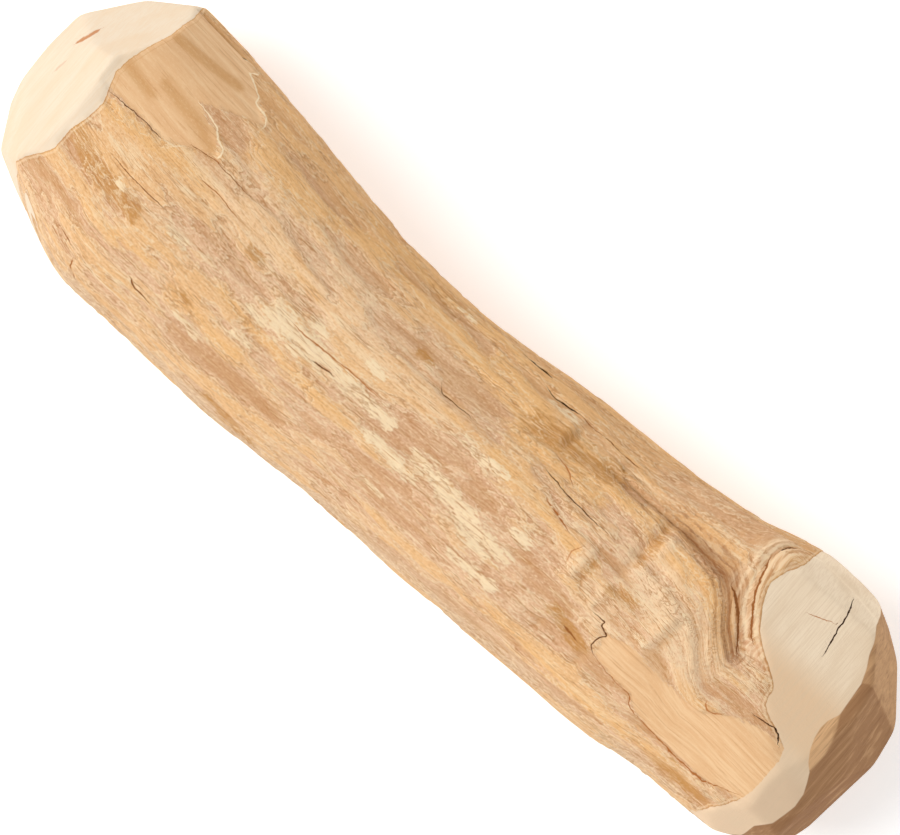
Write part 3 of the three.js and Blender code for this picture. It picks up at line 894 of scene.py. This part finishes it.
colour = mixed(tree, times(tree, band(tree, threads, 0.5, 0.025), frayed, 0.8), colour, GRAIN_AND_SHADOW_BROWN)

# The sanded patches
sanded_mask = step(tree, pushed(tree, field(tree, "sanded"), ragged, 4.0), -0.1, 0.25)
sanded_colour = mixed(tree, step(tree, streak, 0.4, 0.65), SANDED_TAN, SANDED_LIGHT)
sanded_colour = mixed(tree, patch_mask(tree, "stain_and_shade", 0.6, streak, -0.1, 0.6, 1.6), sanded_colour, STAIN_AND_SHADE_BROWN)
sanded_colour = painted(tree, sanded_colour, [
    (hairs, 0.46, 0.3, (0.45,), GRAIN_AND_SHADOW_BROWN),
    (mottle, 0.5, 0.7, (0.3,), FIBRE),
])
colour = mixed(tree, sanded_mask, colour, sanded_colour)



def bands_along(tree, fold_name, near_name, turn, wander, full):
    """Bands beside a fold or a ring, that wander with the torn wood and fade away from it."""
    push = maths(tree, "MULTIPLY_ADD", ragged, wander, times(tree, field(tree, fold_name), turn))
    return times(tree, step(tree, maths(tree, "SINE", push), 0.0, full), field(tree, near_name))


# Painted shade in the fold and in the hollows, in browns; dark brown fibre bands beside the fold, brown
# between the collar's rings, and cream on the rings
fold_shade = times(tree, field(tree, "fold"), step(tree, streak, 0.8, 0.42))
colour = mixed(tree, times(tree, fold_shade, 0.8), colour, FOLD_SHADE_BROWN)
uneven = step(tree, wool, 0.35, 0.6)
fold_bands = bands_along(tree, "fold_side", "fold_near", 5.5, 7.0, 0.9)
colour = mixed(tree, times(tree, fold_bands, uneven, 0.75), colour, DARK_GRAIN)
ring_bands = bands_along(tree, "ring_side", "ring_near", 4.2, 5.0, 0.9)
colour = mixed(tree, times(tree, ring_bands, uneven, 0.6), colour, GRAIN_AND_SHADOW_BROWN)
ring_light = bands_along(tree, "ring_side", "ring_near", 4.2, 5.0, -0.9)
colour = mixed(tree, times(tree, ring_light, 0.5), colour, CREAM)
# Painted shade: warm brown in the deepest hollows of the torn relief
hollow_shade = step(tree, field(tree, "hollow_shade"), 0.15, 0.7)
colour = mixed(tree, times(tree, hollow_shade, 0.4), colour, STAIN_AND_SHADE_BROWN)

# The facets
sander = drawn_noise(tree, in_mm, (4.0, 0.12, 0.3), 4, 0.65, 0.05, 5)
face_tone = drawn_noise(tree, in_mm, (0.12, 0.04, 0.12), 3, 0.5, 0.3, 23)
across = add(tree, "ShaderNodeSeparateXYZ", {0: in_mm}).outputs
stub = step(tree, across["X"], -5.0, 5.0)
stub_face = mixed(tree, step(tree, across["Y"], -3.0, -9.0), STUB_FACET, LIGHT_STUB_FACET)
stub_face = mixed(tree, times(tree, band(tree, across["Y"], 2.0, 11.0), 0.9), stub_face, LOW_STUB_FACET)
facet_colour = mixed(tree, stub, FACET, stub_face)
facet_colour = painted(tree, facet_colour, [
    (sander, 0.42, 0.62, (0.45,), FACET_STREAK),
    (face_tone, 0.4, 0.7, (0.5,), FACET_STREAK),
])
belt = drawn_noise(tree, in_mm, (0.9, 0.05, 0.3), 4, 0.6, 0.1, 9)
# The darker facets: end grain, darkened by each facet's painted shade
end_grain_and_shade = mixed(tree, field(tree, "facet_shade_tone"), END_GRAIN, DARK_END_GRAIN_AND_SHADE)
end_grain_and_shade = painted(tree, end_grain_and_shade, [
    (belt, 0.5, 0.3, (0.35,), END_GRAIN_STREAK),
    (sander, 0.5, 0.3, (0.4,), END_GRAIN_STREAK),
    (belt, 0.52, 0.7, (0.4,), END_GRAIN),
])
facet_colour = mixed(tree, step(tree, field(tree, "end_grain"), -0.12, 0.12), facet_colour, end_grain_and_shade)
ragged_cut = pushed(tree, field(tree, "cut"), ragged, 0.7)
cut_mask = step(tree, ragged_cut, 0.0, 0.1)
inner_rim = times(tree, band(tree, ragged_cut, -0.9, 0.14), 0.4)
torn_rim = maths(tree, "MAXIMUM", band(tree, ragged_cut, -0.06, 0.12), inner_rim)
unsmoothed = maths(tree, "SUBTRACT", 1.0, times(tree, sanded_mask, stub))
colour = mixed(tree, times(tree, torn_rim, unsmoothed, 0.65), colour, STAIN_AND_SHADE_BROWN)
rim_light = times(tree, band(tree, ragged_cut, -0.45, 0.25), maths(tree, "SUBTRACT", 1.0, sanded_mask))
colour = mixed(tree, times(tree, rim_light, 0.5), colour, FIBRE)
colour = mixed(tree, cut_mask, colour, facet_colour)

# The named lines: black or brown cracks, and pale torn edges
wander = times(tree, maths(tree, "SUBTRACT", drawn_noise(tree, in_mm, (0.5, 0.5, 0.5), 5, 0.6), 0.5), 0.9)
off_line = maths(tree, "ABSOLUTE", maths(tree, "ADD", field(tree, "line_side"), wander))
edge = maths(tree, "DIVIDE", off_line, maths(tree, "ADD", field(tree, "line_width"), 0.001))
line_mask = step(tree, edge, 1.4, 0.6)
tone = field(tree, "line_tone")
dark = maths(tree, "MAXIMUM", times(tree, tone, -1.0), 0.0)
dark_line = times(tree, line_mask, step(tree, dark, 0.0, 0.6))
line_colour = mixed(tree, step(tree, dark, 0.5, 1.0), PITH_BROWN, GAP)
pale_line = times(tree, line_mask, maths(tree, "MAXIMUM", tone, 0.0))
colour = mixed(tree, dark_line, colour, line_colour)
colour = mixed(tree, pale_line, colour, CREAM)
tree.links.new(colour, shader.inputs["Base Color"])

SMOOTHEST = 0.7
ROUGHEST = 0.85
BELT_POLISH = 0.1
DRY_WOOD_GLOSS = 0.05
from_streaks = {"Value": streak, "To Min": SMOOTHEST, "To Max": ROUGHEST}
roughness = add(tree, "ShaderNodeMapRange", from_streaks).outputs[0]
smoother = maths(tree, "SUBTRACT", roughness, times(tree, sanded_mask, BELT_POLISH))
tree.links.new(smoother, shader.inputs["Roughness"])
shader.inputs["Specular IOR Level"].default_value = DRY_WOOD_GLOSS

# What stands up from the torn wood, and its share. Sanding leaves little of it.
STANDING = [
    (hairs, 0.6),
    (mottle, 0.5),
    (step(tree, threads, 0.48, 0.52), frayed, 0.15),
    *((step(tree, peel, level - LAYER_EDGE, level + LAYER_EDGE), 0.35) for level in LAYER_LEVELS),
    (pale, 0.25),
]
LEFT_BY_SANDING = 0.12
RELIEF_STRENGTH = 0.4
RELIEF_DEPTH = 0.0005           # metres
relief = times(tree, wool, 0.7)
for parts in STANDING:
    relief = maths(tree, "ADD", relief, times(tree, *parts))
unsanded = maths(tree, "SUBTRACT", 1.0, maths(tree, "MAXIMUM", sanded_mask, cut_mask))
relief = times(tree, relief, maths(tree, "MULTIPLY_ADD", unsanded, 1 - LEFT_BY_SANDING, LEFT_BY_SANDING))
relief = maths(tree, "SUBTRACT", relief, times(tree, dark_line, 0.3))
relief = maths(tree, "ADD", relief, times(tree, sander, cut_mask, 0.2))
bump = add(tree, "ShaderNodeBump", {"Height": relief, "Strength": RELIEF_STRENGTH, "Distance": RELIEF_DEPTH})
tree.links.new(bump.outputs[0], shader.inputs["Normal"])

log_mesh.materials.append(finish)
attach(chew, "root")
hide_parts(NODE)

# The studio
# A wide matt white floor under one broad soft light from the plain end and the near side, with
# even white light from all round. The floor glows faintly, so that its shadow stays weak. None
# of it is part of the chew.

FLOOR_SIZE = 6.0                # metres
PAPER_WHITE = 0.93
PAPER_ROUGHNESS = 0.9
PAPER_GLOW = 0.4
WHITE = (1, 1, 1, 1)
floor_mesh = bpy.data.meshes.new("studio_floor")
floor = bmesh.new()
bmesh.ops.create_grid(floor, x_segments=1, y_segments=1, size=FLOOR_SIZE / 2)
floor.to_mesh(floor_mesh)
floor.free()
floor_object = bpy.data.objects.new("studio_floor", floor_mesh)
bpy.context.scene.collection.objects.link(floor_object)
paper = bpy.data.materials.new("studio_paper")
paper.use_nodes = True
paper_shader = paper.node_tree.nodes["Principled BSDF"]
paper_shader.inputs["Base Color"].default_value = (PAPER_WHITE, PAPER_WHITE, PAPER_WHITE, 1)
paper_shader.inputs["Roughness"].default_value = PAPER_ROUGHNESS
paper_shader.inputs["Emission Color"].default_value = WHITE
paper_shader.inputs["Emission Strength"].default_value = PAPER_GLOW
floor_mesh.materials.append(paper)

KEY_FROM = Vector((-0.72, -0.34, 1.0))
KEY_STRENGTH = 1.8
KEY_SOFTNESS = math.radians(34)
ROOM_STRENGTH = 0.54
key_light = bpy.data.lights.new("key", "SUN")
key_light.energy = KEY_STRENGTH
key_light.angle = KEY_SOFTNESS
key = bpy.data.objects.new("key", key_light)
key.rotation_euler = KEY_FROM.to_track_quat("Z", "Y").to_euler()
bpy.context.scene.collection.objects.link(key)

room = bpy.data.worlds.new("white_room")
room.use_nodes = True
room_light = room.node_tree.nodes["Background"]
room_light.inputs["Color"].default_value = WHITE
room_light.inputs["Strength"].default_value = ROOM_STRENGTH
bpy.context.scene.world = room
bpy.context.scene.view_settings.view_transform = "Standard"
bpy.context.scene.view_settings.look = "None"

# The camera
# It looks straight down on the lying chew from a long way off, turned so that the plain end
# is at the upper left of the picture and the stub end at the lower right.

SENSOR = 36.0
VIEW_WIDTH = 173.08             # what the picture's width takes in, at half the log's height
CAMERA_DISTANCE = 1500.0
CAMERA_OVER = (0.06, 0.88)      # the spot that it hangs over
HALF_HEIGHT = 25.0
CAMERA_TURN = math.radians(41.284)
camera_data = bpy.data.cameras.new("camera")
camera_data.sensor_width = SENSOR
camera_data.lens = SENSOR * CAMERA_DISTANCE / VIEW_WIDTH
camera = bpy.data.objects.new("camera", camera_data)
camera.location = Vector((*CAMERA_OVER, HALF_HEIGHT + CAMERA_DISTANCE)) * MM
camera.rotation_euler = (0, 0, CAMERA_TURN)
bpy.context.scene.collection.objects.link(camera)
bpy.context.scene.camera = camera
